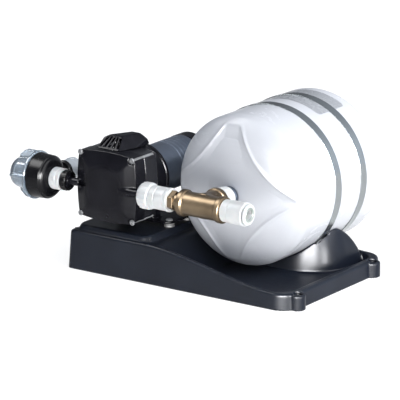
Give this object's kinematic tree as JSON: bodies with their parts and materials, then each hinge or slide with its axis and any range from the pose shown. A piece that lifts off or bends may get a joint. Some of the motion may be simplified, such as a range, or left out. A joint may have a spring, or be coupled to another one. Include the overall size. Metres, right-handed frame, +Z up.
{
  "type": "caravan water pump and accumulator set",
  "caption": "Diaphragm water pump with inlet strainer, brass outlet tee and strapped accumulator tank on one moulded tray; gives pressurised tap water in a caravan.",
  "frame": {"origin": "middle of the four tray screw holes, on the surface the tray stands on", "axes": "+X along the tray from the strainer to the outlet, +Y from the fittings to the back, +Z up"},
  "size_m": [0.4403, 0.3455, 0.2211],
  "materials": {
    "tray_plastic": "moulded, glossy black",
    "rubber_black": "matt",
    "bright_steel": "plated",
    "pump_black": "fine moulded texture",
    "fitting_black": "satin moulding",
    "inner_white": "moulded",
    "cam_metal": "sintered",
    "motor_steel": "satin grey coat",
    "magnet_grey": "ferrite",
    "core_steel": "laminated",
    "copper": "bare copper",
    "carbon": "pressed carbon",
    "bronze": "sintered bronze",
    "clear_plastic": "clear moulding",
    "fitting_white": "moulded white",
    "fitting_grey": "moulded grey",
    "brass": "cast and turned",
    "tank_white": "glossy white moulding",
    "label_film": "bare film",
    "strap_steel": "bright band"
  },
  "bodies": {
    "set": {"base_tray": "tray_plastic", "tank_cradle": "tray_plastic", "rubber_feet": "rubber_black", "inlet_valves": "rubber_black", "outlet_valve": "rubber_black", "pump_diaphragm": "rubber_black", "switch_diaphragm": "rubber_black", "tank_bladder": "rubber_black", "cable_gland": "rubber_black", "foot_screws": "bright_steel", "cover_screws": "bright_steel", "front_bearing": "bright_steel", "switch_spring": "bright_steel", "pump_foot_plate": "pump_black", "pump_cover": "pump_black", "pump_body": "pump_black", "drive_housing": "pump_black", "motor_end_cap": "pump_black", "switch_box": "pump_black", "micro_switch": "pump_black", "strainer_body": "fitting_black", "inlet_ring": "fitting_black", "valve_plate": "inner_white", "motor_can": "motor_steel", "tank_port": "motor_steel", "motor_magnets": "magnet_grey", "carbon_brushes": "carbon", "rear_bush": "bronze", "strainer_collar": "fitting_white", "outlet_adaptor": "fitting_white", "outlet_connector": "fitting_white", "inlet_connector": "fitting_grey", "hex_nipple": "brass", "brass_tee": "brass", "air_valve": "brass", "tank_shell": "tank_white", "tank_label": "label_film", "strap_front": "strap_steel", "strap_rear": "strap_steel", "strap_buckles": "strap_steel"},
    "rotor": {"motor_shaft": "bright_steel", "armature_core": "core_steel", "armature_windings": "copper", "commutator": "copper", "drive_cam": "cam_metal"},
    "wobble": {"wobble_plate": "inner_white", "cam_bearing": "bright_steel"},
    "plunger": {"switch_plunger": "inner_white"},
    "strainer_element": {"strainer_screen": "bright_steel"},
    "strainer_lid": {"strainer_cap": "clear_plastic", "strainer_seal": "rubber_black"},
    "inlet_union": {"inlet_nut": "fitting_black"},
    "outlet_union": {"outlet_nut": "fitting_white"},
    "tank_union": {"tank_nut": "fitting_white"},
    "outlet_release": {"outlet_collet": "fitting_white"},
    "inlet_release": {"inlet_collet": "fitting_grey"},
    "valve_cap": {"air_valve_cap": "fitting_black"},
    "valve_pin": {"air_valve_pin": "bright_steel"},
    "front_strap_screw": {"strap_screw_front": "strap_steel"},
    "rear_strap_screw": {"strap_screw_rear": "strap_steel"}
  },
  "joints": [
    {"name": "rotor_spin", "type": "hinge", "parent": "set", "child": "rotor", "pos_m": [-0.108, -0.0115, 0.12], "axis": [0, 1, 0], "continuous": true},
    {"name": "wobble_rock", "type": "hinge", "parent": "set", "child": "wobble", "pos_m": [-0.108, -0.0843, 0.12], "axis": [1, 0, 0], "range_deg": [-1.8, 1.8], "stiffness_Nm_per_rad": 3},
    {"name": "plunger_lift", "type": "slide", "parent": "set", "child": "plunger", "axis": [0, 0, 1], "range_m": [0, 0.0012], "stiffness_N_per_m": 900, "deforming": ["switch_spring"]},
    {"name": "screen_pull", "type": "slide", "parent": "set", "child": "strainer_element", "axis": [-1, 0, 0], "range_m": [0, 0.065]},
    {"name": "strainer_cap_turn", "type": "hinge", "parent": "strainer_element", "child": "strainer_lid", "pos_m": [-0.2155, -0.114, 0.12], "axis": [1, 0, 0], "range_deg": [0, 90]},
    {"name": "inlet_nut_spin", "type": "hinge", "parent": "set", "child": "inlet_union", "pos_m": [-0.169, -0.114, 0.12], "axis": [1, 0, 0], "continuous": true},
    {"name": "outlet_nut_spin", "type": "hinge", "parent": "set", "child": "outlet_union", "pos_m": [-0.04125, -0.114, 0.12], "axis": [1, 0, 0], "continuous": true},
    {"name": "tank_nut_spin", "type": "hinge", "parent": "set", "child": "tank_union", "pos_m": [0.0455, -0.0717, 0.12], "axis": [0, 1, 0], "continuous": true},
    {"name": "outlet_collet_press", "type": "slide", "parent": "set", "child": "outlet_release", "axis": [-1, 0, 0], "range_m": [0, 0.0015], "stiffness_N_per_m": 1500},
    {"name": "inlet_collet_press", "type": "slide", "parent": "set", "child": "inlet_release", "axis": [0, -1, 0], "range_m": [0, 0.0015], "stiffness_N_per_m": 1500},
    {"name": "valve_cap_pull", "type": "slide", "parent": "set", "child": "valve_cap", "axis": [0, 1, 0], "range_m": [0, 0.02]},
    {"name": "valve_pin_press", "type": "slide", "parent": "set", "child": "valve_pin", "axis": [0, -1, 0], "range_m": [0, 0.0012], "stiffness_N_per_m": 500},
    {"name": "front_strap_screw_turn", "type": "hinge", "parent": "set", "child": "front_strap_screw", "pos_m": [-0.04552, 0.0455, 0.17255], "axis": [-0.5, 0, -0.866], "continuous": true},
    {"name": "rear_strap_screw_turn", "type": "hinge", "parent": "set", "child": "rear_strap_screw", "pos_m": [-0.04552, 0.1055, 0.17255], "axis": [-0.5, 0, -0.866], "continuous": true}
  ]
}
